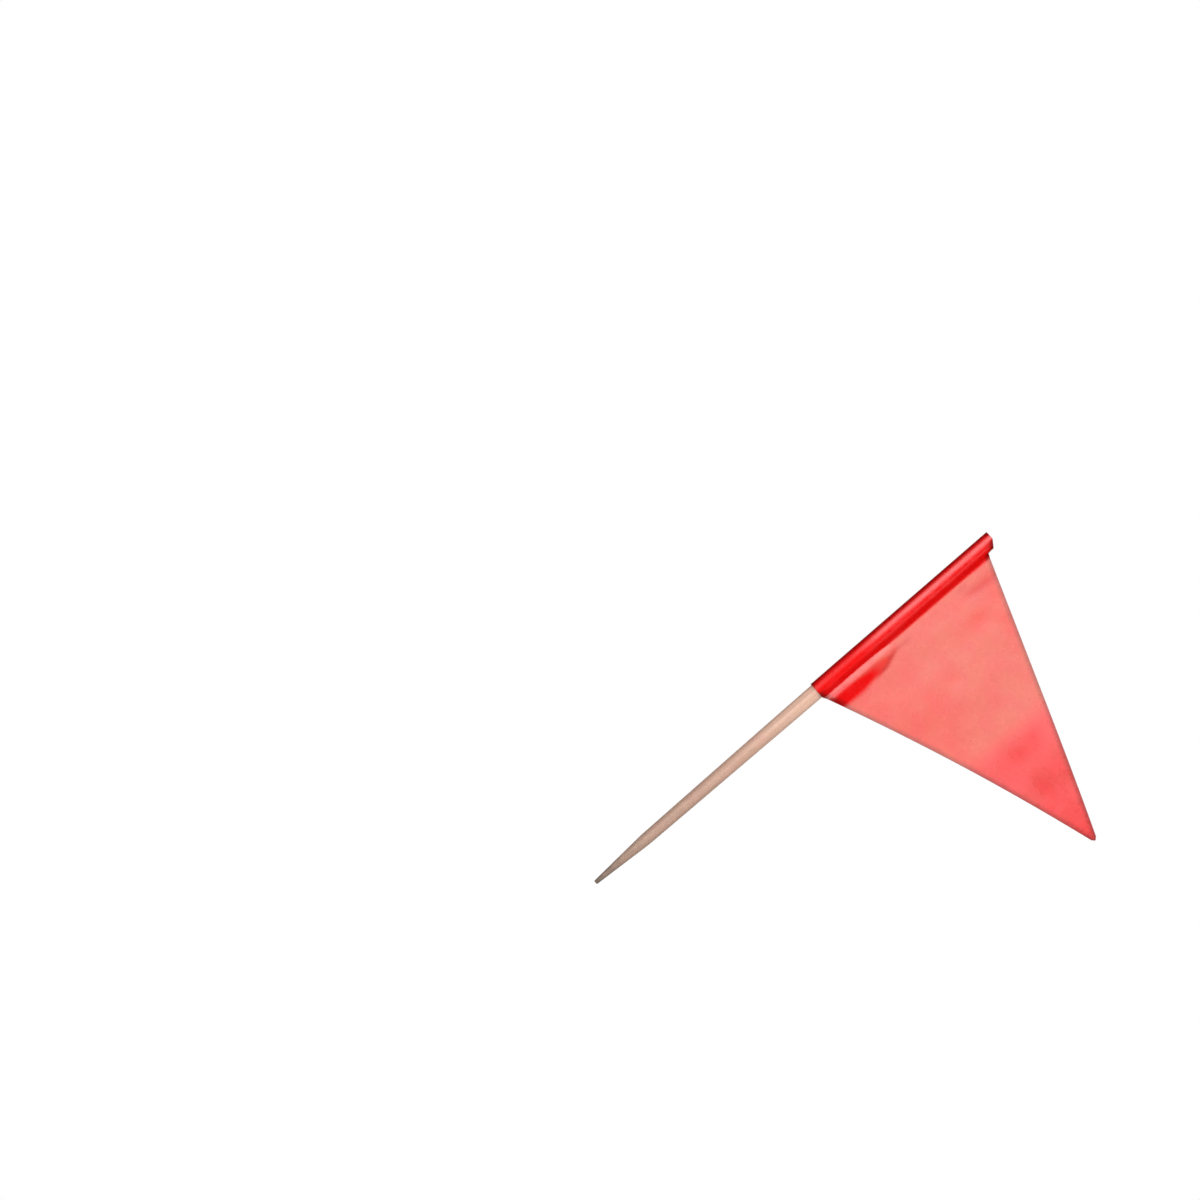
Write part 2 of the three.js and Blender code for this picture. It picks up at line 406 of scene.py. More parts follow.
def bowed(x, y):
    if x > turnStart:
        turn = (x - turnStart) / turnRadius
        x = turnStart + (turnRadius - y) * math.sin(turn)
        y = turnRadius - (turnRadius - y) * math.cos(turn)
    return (x * math.cos(leafLean) + y * math.sin(leafLean),
            y * math.cos(leafLean) - x * math.sin(leafLean))


def tipCornerWorn(x):
    shadeAndWear = max(0, (x - sheet["reach"] + sheet["tipCorner"]) / sheet["tipCorner"])
    return sheet["tipWidth"] * sheet["tipRounding"] * shadeAndWear * shadeAndWear


def upperEdge(x):
    if x > stepX + 1e-6:  # the column on the step itself belongs to the sleeve
        rootX = stepX + sheet["collarStepWidth"] * math.cos(closing)
        share = (x - rootX) / (sheet["reach"] - rootX)
        return hoistTop + (tipHeight + sheet["tipWidth"] / 2 - hoistTop) * share - tipCornerWorn(x)
    clip = (x - stepX + sheet["collarClipWidth"]) / sheet["collarClipWidth"]
    return sheetTop - sheet["collarClipDrop"] * max(0, clip)


def lowerEdge(x):
    share = max(0, (x - stepX) / (sheet["reach"] - stepX))
    arch = 4 * sheet["lowerArch"] * share * (1 - share)
    return sheetBottom + (tipHeight - sheet["tipWidth"] / 2 - sheetBottom) * share + arch + tipCornerWorn(x)


def buckleAt(x, y, nx, ny, z):
    # How far the front film stands forward of where it would lie: a hump that bridges the sleeve's corner
    middle = sheet["adhesive"] + sheet["glueLine"] + sheet["film"] / 2
    height = max(0, z - lowerEdge(x)) / buckle["height"]
    runOut = max(0, 1 - height ** buckle["runOut"])
    crest = closeX + buckle["crest"] * math.sqrt(runOut)
    end = closeX + buckle["width"] * math.sqrt(runOut)
    x += middle * nx
    if x >= end:
        return 0
    down = 1 - smooth(crest, end, x) if x > crest else 1
    fall = buckle["fall"] * max(0, crest - x) ** 2
    gap = max(0, halfGap + middle + buckle["rise"] * runOut * down - fall - y - middle * ny)
    return gap * gap / (gap + buckle["softness"])


def reliefAt(x, z):
    # How far both leaves together stand back from the even bow, mm
    if x <= closeX:
        return 0
    soft = leafRelief["kinkSoftness"]
    past = soft * math.log1p(math.exp((x - leafRelief["kinkAt"]) / soft))
    relief = leafRelief["kinkRise"] * (1 - math.exp(-past / leafRelief["kinkLength"]))
    outer = smooth(*leafRelief["waveFrom"], x)
    height = leafRelief["wave"] + (leafRelief["waveTip"] - leafRelief["wave"]) * outer
    wave = waveAt(*leafRelief["broadWave"], x, z)
    wave += leafRelief["fineShare"] * waveAt(*leafRelief["fineWave"], x, z)
    relief += height * wave * smooth(closeX, closeX + leafRelief["waveIn"], x)
    for dent in leafRelief["dents"]:
        relief += dent["depth"] * spotStrength(dent, x, z)
    return relief


def waveAt(across, upward, seed, x, z):
    return noise.noise(Vector((x * across, z * upward, seed)))


def spotStrength(spot, x, z):
    # 1 in the middle of a dent or loose spot, falling off evenly
    across = (x - spot["at"][0]) / spot["size"][0]
    upward = (z - spot["at"][1]) / spot["size"][1]
    return math.exp(-(across * across + upward * upward) / 2)


def between(points, z):
    # A value read off a line of (height, value) points
    for (lowZ, low), (highZ, high) in zip(points, points[1:]):
        if z < highZ:
            return low + (high - low) * max(0, z - lowZ) / (highZ - lowZ)
    return points[-1][1]


def unglued(x, z):
    # 1 in the middle of the buckle's patch, 0 outside it
    root = between(buckle["patchRoot"], z)
    inside = smooth(root, root + between(buckle["patchRise"], z), x)
    closed = smooth(between(buckle["patchCore"], z), between(buckle["patchSide"], z), x)
    return between(buckle["loose"], z) * inside * (1 - closed)


def creaseLines(x, z):
    # How strongly each short crease of the front film shows at a place
    for line in leafRelief["creases"]:
        (fromX, fromZ), (toX, toZ) = line["from"], line["to"]
        length = math.hypot(toX - fromX, toZ - fromZ)
        along = ((x - fromX) * (toX - fromX) + (z - fromZ) * (toZ - fromZ)) / length ** 2
        across = ((x - fromX) * (toZ - fromZ) - (z - fromZ) * (toX - fromX)) / length / line["width"]
        yield line, band(*leafRelief["creaseEnds"], along) * math.exp(-across * across / 2)


def creaseShadeAt(x, z):
    # Painted shade: over the buckle's patch, along the crease at its upper side, and along the short creases
    off = (x - between(buckle["creaseLine"], z)) / buckle["creaseWidth"]
    paintedShade = between(buckle["creaseDark"], z) * math.exp(-off * off / 2)
    paintedShade = max(paintedShade, buckle["patchShade"] * unglued(x, z))
    return max([paintedShade] + [line["dark"] * strength for line, strength in creaseLines(x, z)])


def leavingPick(x):
    # 1 in the narrow valley where the film leaves the pick
    return band(paintedLightAndDull["valley"]["from"], paintedLightAndDull["valley"]["to"], x)


def sleeveShadeAt(x, z, inFront):
    # Painted shade on the sleeve: along the fold behind the pick, where it leaves the pick, at the
    # clipped corner and at the foot
    fold, corner, foot = paintedLightAndDull["fold"], paintedLightAndDull["corner"], paintedLightAndDull["foot"]
    shadeAndWear = max(fold["dark"] * smooth(*fold["from"], -x), paintedLightAndDull["valley"]["dark"] * leavingPick(x))
    if inFront:
        down = (upperEdge(x) - z) / corner["reach"]
        clipped = smooth(*corner["from"], x) * (1 - corner["fade"] * smooth(*corner["to"], x))
        shadeAndWear = max(shadeAndWear, math.exp(-down * down) * clipped)
        up = (z - lowerEdge(x)) / corner["reach"]
        shadeAndWear = max(shadeAndWear, foot["dark"] * math.exp(-up * up) * smooth(*foot["from"], x))
    return shadeAndWear


def scuffAt(x, z, inFront):
    # Dull film: low on the sleeve, on its far side, where it leaves the pick, and in the buckle's patch
    if x < closeX:
        low, side, front = paintedLightAndDull["dullLow"], paintedLightAndDull["dullSide"], paintedLightAndDull["dullFront"]
        lowDull = (1 - smooth(*low["below"], z)) * (1 - smooth(*low["to"], x))
        sideDull = side["dull"] * smooth(*side["from"], -x)
        frontDull = front["dull"] * band(front["from"], front["to"], x) * (1 - smooth(*front["below"], z))
        return max(lowDull, sideDull, frontDull, leavingPick(x))
    if not inFront:
        return 0
    return max(pinchAt(x, z), unglued(x, z) * smooth(*paintedLightAndDull["dullPatch"], x))


def pinchAt(x, z):
    pinch = paintedLightAndDull["pinch"]
    return (1 - smooth(*pinch["above"], z - lowerEdge(x))) * band(pinch["from"], pinch["to"], x)


def glueAndSheenAt(x, z, inFront):
    # 1 where the leaves are glued flat to each other, 0 on the sleeve and where the front stands off; where
    # it is 1, the leaf's paler red is partly glue and partly painted reflection
    meeting = paintedLightAndDull["glueAndSheen"]
    root = closeX + meeting["late"] * smooth(*meeting["lateAbove"], z)
    glueAndSheen = smooth(*meeting["from"], x - root)
    if inFront and x > closeX:
        glueAndSheen *= 1 - unglued(x, z)
        for line, strength in creaseLines(x, z):
            glueAndSheen -= line["loose"] * strength
        for spot in leafRelief["looseSpots"]:
            glueAndSheen -= spot["share"] * spotStrength(spot, x, z)
    return min(1, max(0, glueAndSheen))


def edgeShadeWidthAt(x, z, inFront):
    # How much further than elsewhere the painted shade of the cut edge reaches in, mm
    if x < stepX:
        widening = paintedLightAndDull["sleeveEdgeShade"]
        return widening["more"] * math.exp(-((x - widening["at"]) / widening["width"]) ** 2)
    if not inFront:
        return 0
    widening = paintedLightAndDull["patchEdgeShade"]
    return widening["more"] * unglued(x, z) * smooth(closeX, closeX + widening["within"], x)


def addFoldedSheet(name, depth, thickness, standsOff):
    half = halfSection()
    front = [(x, -y, nx, -ny, True) for x, y, nx, ny in half]
    behind = [(x, y, nx, ny, False) for x, y, nx, ny in reversed(half[1:])]
    section = behind + front
    columns = len(section) - 1
    rows = sheet["rows"]
    along = [0]
    for (ax, ay, *_), (bx, by, *_) in zip(section, section[1:]):
        along.append(along[-1] + math.hypot(bx - ax, by - ay))

    deselectAll()
    bpy.ops.mesh.primitive_grid_add(x_subdivisions=columns, y_subdivisions=rows, size=1)
    piece = bpy.context.object
    piece.name = name
    mesh = piece.data
    places = []
    marks = {"glueAndSheen": [], "rim": [], "outward": [], "paintedShade": [], "scuff": []}
    for vertex in mesh.vertices:
        column = round((vertex.co.x + 0.5) * columns)
        row = round((vertex.co.y + 0.5) * rows)
        x, y, nx, ny, inFront = section[column]
        share = 0.5 - 0.5 * math.cos(math.pi * row / rows)
        low, high = lowerEdge(x), upperEdge(x)
        z = low + (high - low) * share
        forward = standsOff(x, -y, nx, -ny, z) if inFront else 0
        px, py = bowed(x + depth * nx, y + depth * ny - forward + reliefAt(x, z))
        vertex.co = Vector((px, py, z)) * mm
        places.append((along[column], z))
        inset = min(z - low, high - z, sheet["reach"] - x)
        marks["glueAndSheen"].append(glueAndSheenAt(x, z, inFront))
        marks["rim"].append(max(0, inset - edgeShadeWidthAt(x, z, inFront)))
        marks["outward"].append(smooth(*paintedLightAndDull["outward"], x))
        # Painted shade on the sleeve, and on the front leaf in the patch, along its creases, at the pinch and
        # towards the tip
        shaded = sleeveShadeAt(x, z, inFront) if x <= closeX else 0
        if inFront and x > closeX:
            tipDark = paintedLightAndDull["tip"]["dark"] * smooth(*paintedLightAndDull["tip"]["from"], x)
            shaded = max(creaseShadeAt(x, z), paintedLightAndDull["pinch"]["dark"] * pinchAt(x, z), tipDark)
        marks["paintedShade"].append(shaded)
        marks["scuff"].append(scuffAt(x, z, inFront))
    for label, values in marks.items():
        mesh.attributes.new(label, "FLOAT", "POINT").data.foreach_set("value", values)
    flat = mesh.uv_layers[0]
    flat.name = "flatSheet"
    for loop in mesh.loops:
        across, height = places[loop.vertex_index]
        flat.data[loop.index].uv = (across / flatScale, height / flatScale)

    solid = piece.modifiers.new("thickness", "SOLIDIFY")
    solid.thickness = thickness * mm
    solid.offset = 1
    solid.use_even_offset = True
    applyModifiers(piece)
    bpy.ops.object.shade_smooth_by_angle(angle=math.radians(sheet["smoothAngle"]))
    return piece


def flatSheetSize():
    # Width along the unrolled film, height and area of the cut, at the film's mid depth
    depth = sheet["adhesive"] + sheet["glueLine"] + sheet["film"] / 2
    width = 2 * ((wrapRadius + depth) * (math.pi / 2 + closing) + rootRun
                 + (sheet["rootBend"] - depth) * closing + sheet["reach"] - closeX)
    leafWidth = sheet["reach"] - stepX
    leaf = (hoistTop - sheetBottom + sheet["tipWidth"]) / 2 * leafWidth
    leaf -= 2 / 3 * sheet["lowerArch"] * leafWidth
    area = 2 * leaf + (width - 2 * leafWidth) * (sheetTop - sheetBottom)
    return width * mm, (sheetTop - sheetBottom) * mm, area * mm * mm


turnedPick = addPick()
print("pick turned")
flagFilm = addFoldedSheet("flagFilm", sheet["adhesive"] + sheet["glueLine"], sheet["film"], buckleAt)
adhesiveCoat = addFoldedSheet("adhesiveCoat", 0, sheet["adhesive"], lambda *place: 0)
print("sheet folded")


# Materials
def addNode(tree, kind, inputs=None, **settings):
    node = tree.nodes.new(kind)
    for key, value in settings.items():
        setattr(node, key, value)
    for key, value in (inputs or {}).items():
        node.inputs[key].default_value = value
    return node


def join(tree, *links):
    for source, output, target, socket in links:
        tree.links.new(source.outputs[output], target.inputs[socket])


def mathNode(tree, operation, *values):
    # Each value is a number, or a (node, output) pair to link
    node = addNode(tree, "ShaderNodeMath", operation=operation)
    for i, value in enumerate(values):
        if isinstance(value, tuple):
            tree.links.new(value[0].outputs[value[1]], node.inputs[i])
        else:
            node.inputs[i].default_value = value
    return node


def mixColours(tree, factor, first, second, blend="MIX"):
    # 6 and 7 are a Mix node's colour inputs, and 2 is its colour output
    node = addNode(tree, "ShaderNodeMix", data_type="RGBA", blend_type=blend)
    if isinstance(factor, tuple):
        tree.links.new(factor[0].outputs[factor[1]], node.inputs[0])
    else:
        node.inputs[0].default_value = factor
    for socket, colour in ((6, first), (7, second)):
        if isinstance(colour, tuple) and len(colour) == 2:
            tree.links.new(colour[0].outputs[colour[1]], node.inputs[socket])
        else:
            node.inputs[socket].default_value = (*colour, 1)
    return node, 2


def newGroup(name, inputs, outputs):
    group = bpy.data.node_groups.new(name, "ShaderNodeTree")
    for label, kind, value in inputs:
        socket = group.interface.new_socket(name=label, in_out="INPUT", socket_type=kind)
        if value is not None:
            socket.default_value = value
    for label, kind in outputs:
        group.interface.new_socket(name=label, in_out="OUTPUT", socket_type=kind)
    return group, group.nodes.new("NodeGroupInput"), group.nodes.new("NodeGroupOutput")


def makeMottleGroup():
    # Soft blotches: a noise whose middle part is stretched to 0..1
    group, entry, leave = newGroup("softMottle", [
        ("Vector", "NodeSocketVector", None), ("Scale", "NodeSocketFloat", 1.0),
        ("Detail", "NodeSocketFloat", 2.0), ("Low", "NodeSocketFloat", 0.35),
        ("High", "NodeSocketFloat", 0.65)], [("Value", "NodeSocketFloat")])
    spots = addNode(group, "ShaderNodeTexNoise", {"Roughness": 0.55})
    stretch = addNode(group, "ShaderNodeMapRange", interpolation_type="SMOOTHSTEP")
    join(group, (entry, "Vector", spots, "Vector"), (entry, "Scale", spots, "Scale"),
         (entry, "Detail", spots, "Detail"), (spots, "Fac", stretch, "Value"),
         (entry, "Low", stretch, "From Min"), (entry, "High", stretch, "From Max"),
         (stretch, "Result", leave, "Value"))
    return group


def makeCutEdgeGroup():
    # 1 on a cut edge, fading out over Width, its border made uneven by the pattern
    group, entry, leave = newGroup("cutEdge", [
        ("Vector", "NodeSocketVector", None), ("Distance", "NodeSocketFloat", 1.0),
        ("Width", "NodeSocketFloat", 0.2), ("Uneven", "NodeSocketFloat", 0.6),
        ("Scale", "NodeSocketFloat", 2.0)], [("Mask", "NodeSocketFloat")])
    nicks = addNode(group, "ShaderNodeTexNoise", {"Detail": 2.0})
    join(group, (entry, "Vector", nicks, "Vector"), (entry, "Scale", nicks, "Scale"))
    centred = mathNode(group, "SUBTRACT", (nicks, "Fac"), 0.5)
    scaled = mathNode(group, "MULTIPLY", (centred, 0), (entry, "Uneven"))
    grow = mathNode(group, "ADD", (scaled, 0), 1.0)
    width = mathNode(group, "MULTIPLY", (grow, 0), (entry, "Width"))
    share = mathNode(group, "DIVIDE", (entry, "Distance"), (width, 0))
    share.use_clamp = True
    mask = mathNode(group, "SUBTRACT", 1.0, (share, 0))
    join(group, (mask, 0, leave, "Mask"))
    return group


def makeFibreGroup():
    # Long fine fibres or draw lines: noise drawn out along one direction
    group, entry, leave = newGroup("fineLines", [
        ("Vector", "NodeSocketVector", None), ("Stretch", "NodeSocketVector", None),
        ("Detail", "NodeSocketFloat", 3.0), ("Low", "NodeSocketFloat", 0.3),
        ("High", "NodeSocketFloat", 0.7)], [("Value", "NodeSocketFloat")])
    drawn = addNode(group, "ShaderNodeVectorMath", operation="MULTIPLY")
    lines = addNode(group, "ShaderNodeTexNoise", {"Scale": 1.0, "Roughness": 0.6})
    stretch = addNode(group, "ShaderNodeMapRange")
    join(group, (entry, "Vector", drawn, 0), (entry, "Stretch", drawn, 1), (drawn, 0, lines, "Vector"),
         (entry, "Detail", lines, "Detail"), (lines, "Fac", stretch, "Value"),
         (entry, "Low", stretch, "From Min"), (entry, "High", stretch, "From Max"),
         (stretch, "Result", leave, "Value"))
    return group


mottleGroup = makeMottleGroup()
cutEdgeGroup = makeCutEdgeGroup()
fibreGroup = makeFibreGroup()


def useGroup(tree, group, vector, **inputs):
    # Each input is a value, or a (node, output) pair to link
    node = addNode(tree, "ShaderNodeGroup", node_tree=group)
    tree.links.new(vector[0].outputs[vector[1]], node.inputs["Vector"])
    for key, value in inputs.items():
        if isinstance(value, tuple) and not isinstance(value[0], (int, float)):
            tree.links.new(value[0].outputs[value[1]], node.inputs[key])
        else:
            node.inputs[key].default_value = value
    return node


def newMaterial(name):
    material = bpy.data.materials.new(name)
    material.use_nodes = True
    return material, material.node_tree, material.node_tree.nodes["Principled BSDF"]


def sheetCoordinates(tree):
    # The sheet's own flat measure, mm
    flat = addNode(tree, "ShaderNodeUVMap", uv_map="flatSheet")
    scaled = addNode(tree, "ShaderNodeVectorMath", operation="SCALE")
    scaled.inputs["Scale"].default_value = flatScale
    join(tree, (flat, "UV", scaled, 0))
    return scaled, 0


def attribute(tree, name):
    return addNode(tree, "ShaderNodeAttribute", attribute_name=name), "Fac"


def paintGrazingShade(tree, colour, shadeTint, strength):
    # Darker where the surface is seen at a grazing angle: painted shade on the sides
    facing = addNode(tree, "ShaderNodeLayerWeight", {"Blend": 0.5})
    share = mathNode(tree, "MULTIPLY", (facing, "Facing"), strength)
    share.use_clamp = True
    return mixColours(tree, (share, 0), colour, shadeTint, "MULTIPLY")


filmFinish = {
    "deepRed": (0.79, 0.0025, 0.0025),
    # Where glued: partly the pale glue under the film, partly painted reflection of the soft light
    "gluedSheenRed": (0.715, 0.129, 0.086),
    # Painted loss of that reflection, where the leaf turns away
    "outerRed": (0.86, 0.104, 0.105),
    "coolRed": (0.715, 0.099, 0.085),  # blotches where the adhesive is thicker
    # Painted shade along the cut edges
    "edge": (0.43, 0.56, 0.54),  # tint along the cut edges
    # Painted shade in creases, folds, corners and towards the tip
    "paintedShade": (0.38, 0.25, 0.25),
    # Also painted shade on the sides of the sleeve
    "grazingShade": (0.55, 0.3, 0.3),  # tint at grazing view, where light goes a longer way through the colour
    "grazingShare": 0.8,
    "roughness": (0.24, 0.34),
    "specular": (0.9, 0.25),  # fresh film, then scuffed or creased film
    "wetted": (0.84, 1.0),  # share of glue that shows
    "broadBlotches": {"Scale": 0.16, "Detail": 3.0, "Low": 0.3, "High": 0.62},
    "smallBlotches": {"Scale": 0.8, "Detail": 3.0, "Low": 0.3, "High": 0.7},
    "smallShare": 0.3,
    "coolBlotches": {"Scale": 0.33, "Detail": 3.0, "Low": 0.42, "High": 0.62},
    "coolShare": 0.6,
    "dullBlotches": {"Scale": 0.45, "Detail": 4.0, "Low": 0.35, "High": 0.7},
    "edgeBand": {"Width": 0.72, "Uneven": 0.5, "Scale": 0.7},
    "edgeShare": 0.95,
    "peel": {"Scale": 1.3, "Detail": 2.0, "Roughness": 0.45},
    "drawLines": (0.15, 5.0, 1.0),
    "drawLineShare": 0.12,
    "relief": 0.012,  # mm
}


def filmMaterial():
    material, tree, shader = newMaterial("redFilm")
    place = sheetCoordinates(tree)
    glueAndSheen = attribute(tree, "glueAndSheen")

    # Glue that wets the film unevenly shows as soft blotches in the leaf
    broad = useGroup(tree, mottleGroup, place, **filmFinish["broadBlotches"])
    small = useGroup(tree, mottleGroup, place, **filmFinish["smallBlotches"])
    both = mathNode(tree, "MULTIPLY_ADD", (small, "Value"), filmFinish["smallShare"], (broad, "Value"))
    least, most = filmFinish["wetted"]
    wetted = addNode(tree, "ShaderNodeMapRange", {"From Max": 1 + filmFinish["smallShare"],
                                                  "To Min": least, "To Max": most})
    join(tree, (both, 0, wetted, "Value"))
    glueAndSheenShare = mathNode(tree, "MULTIPLY", glueAndSheen, (wetted, "Result"))
    # The outer part's other tone is painted loss of reflection, where the leaf turns away
    glueAndSheenColour = mixColours(tree, attribute(tree, "outward"), filmFinish["gluedSheenRed"], filmFinish["outerRed"])
    cool = useGroup(tree, mottleGroup, place, **filmFinish["coolBlotches"])
    cooled = mathNode(tree, "MULTIPLY", (cool, "Value"), filmFinish["coolShare"])
    glueAndSheenColour = mixColours(tree, (cooled, 0), glueAndSheenColour, filmFinish["coolRed"])
    # The leaf's paler red where glued is partly glue and partly painted reflection; without it the film keeps
    # its deep red
    colour = mixColours(tree, (glueAndSheenShare, 0), filmFinish["deepRed"], glueAndSheenColour)

    # Painted shade along the cut edges
    edge = useGroup(tree, cutEdgeGroup, place, Distance=attribute(tree, "rim"), **filmFinish["edgeBand"])
    darkened = mathNode(tree, "MULTIPLY", (edge, "Mask"), filmFinish["edgeShare"])
    finished = mixColours(tree, (darkened, 0), colour, filmFinish["edge"], "MULTIPLY")
    # Painted shade in creases, folds, corners and towards the tip
    finished = mixColours(tree, attribute(tree, "paintedShade"), finished, filmFinish["paintedShade"], "MULTIPLY")
    # Partly the longer path through the colour, partly painted shade on the sides
    finished = paintGrazingShade(tree, finished, filmFinish["grazingShade"], filmFinish["grazingShare"])
    join(tree, (*finished, shader, "Base Color"))

    low, high = filmFinish["roughness"]
    dull = useGroup(tree, mottleGroup, place, **filmFinish["dullBlotches"])
    roughness = addNode(tree, "ShaderNodeMapRange", {"To Min": low, "To Max": high})
    join(tree, (dull, "Value", roughness, "Value"), (roughness, "Result", shader, "Roughness"))

    # The sleeve's lower part is scuffed and shines less, and so does the film under the painted shade
    shine, shadeAndWear = filmFinish["specular"]
    specular = addNode(tree, "ShaderNodeMapRange", {"To Min": shine, "To Max": shadeAndWear})
    dulled = mathNode(tree, "MAXIMUM", attribute(tree, "scuff"), attribute(tree, "paintedShade"))
    join(tree, (dulled, 0, specular, "Value"), (specular, "Result", shader, "Specular IOR Level"))

    # Relief: fine peel of the film, and draw lines along its roll
    peel = addNode(tree, "ShaderNodeTexNoise", filmFinish["peel"])
    join(tree, (*place, peel, "Vector"))
    lines = useGroup(tree, fibreGroup, place, Stretch=filmFinish["drawLines"])
    height = mathNode(tree, "MULTIPLY_ADD", (lines, "Value"), filmFinish["drawLineShare"], (peel, "Fac"))
    bump = addNode(tree, "ShaderNodeBump", {"Strength": 1.0, "Distance": filmFinish["relief"] * mm})
    join(tree, (height, 0, bump, "Height"), (bump, "Normal", shader, "Normal"))
    return material


adhesiveFinish = {
    "clear": (0.80, 0.46, 0.38),
    "hazy": (0.86, 0.62, 0.54),
    # Painted shade along the cut edges
    "edge": (0.42, 0.16, 0.13),
    "roughness": (0.3, 0.5),
    "haze": {"Scale": 0.7, "Detail": 3.0, "Low": 0.35, "High": 0.65},
    "edgeBand": {"Width": 0.1, "Uneven": 0.9, "Scale": 3.0},
}


def adhesiveMaterial():
    material, tree, shader = newMaterial("adhesive")
    place = sheetCoordinates(tree)
    haze = useGroup(tree, mottleGroup, place, **adhesiveFinish["haze"])
    colour = mixColours(tree, (haze, "Value"), adhesiveFinish["clear"], adhesiveFinish["hazy"])
    # Painted shade along the cut edges
    edge = useGroup(tree, cutEdgeGroup, place, Distance=attribute(tree, "rim"), **adhesiveFinish["edgeBand"])
    finished = mixColours(tree, (edge, "Mask"), colour, adhesiveFinish["edge"])
    low, high = adhesiveFinish["roughness"]
    roughness = addNode(tree, "ShaderNodeMapRange", {"To Min": low, "To Max": high})
    join(tree, (*finished, shader, "Base Color"), (haze, "Value", roughness, "Value"),
         (roughness, "Result", shader, "Roughness"))
    return material


woodFinish = {
    "light": (0.83, 0.55, 0.425),
    "dark": (0.62, 0.375, 0.27),
    "blush": (0.76, 0.42, 0.34),
    "darkToPoint": (0.20, 0.15, 0.12),
    # Painted shade at the pick's sides, seen at a grazing angle
    "grazingShade": (0.6, 0.58, 0.56),
    "endGrain": (0.62, 0.40, 0.27),
    "pore": (0.26, 0.15, 0.09),
    "streaks": {"Stretch": (1.5, 1.5, 0.035), "Low": 0.36, "High": 0.64},
    "fibres": {"Stretch": (6.0, 6.0, 0.07), "Low": 0.3, "High": 0.7},
    "fibreShare": 0.45,
    "fineFibres": {"Stretch": (16.0, 16.0, 0.2), "Low": 0.3, "High": 0.7},
    "fineShare": 0.4,
    "blushSpots": {"Scale": 0.22, "Detail": 3.0, "Low": 0.42, "High": 0.66},
    "blushShare": 0.5,
    "darkToPointFrom": {"From Min": 36.0, "From Max": 0.0, "To Max": 0.71},  # heights in mm, and share at the point
    "nearPointDarkFrom": {"From Min": 5.0, "From Max": 0.0, "To Max": 0.45},
    "darkToPointSpots": {"Scale": 0.9, "Detail": 3.0, "Low": 0.2, "High": 0.8},
    "darkToPointUneven": (0.3, 0.8),  # what the spots add, and the least
    "growthBands": {"Scale": 0.5, "Distortion": 1.2, "Detail": 2.0},
    "bandShare": 0.45,
    "pores": {"Scale": 7.0},
    "poreWall": {"From Min": 0.28, "From Max": 0.12},
    "endFace": {"From Min": 0.03, "From Max": 0.005},  # mm from the cut
    "bruise": {"Width": 0.22, "Uneven": 1.2, "Scale": 2.5},
    "bruiseShare": 0.35,
    "grazingShare": 1.1,
    "roughness": (0.58, 0.82),
    "specular": 0.25,
    "relief": 0.018,  # mm
}


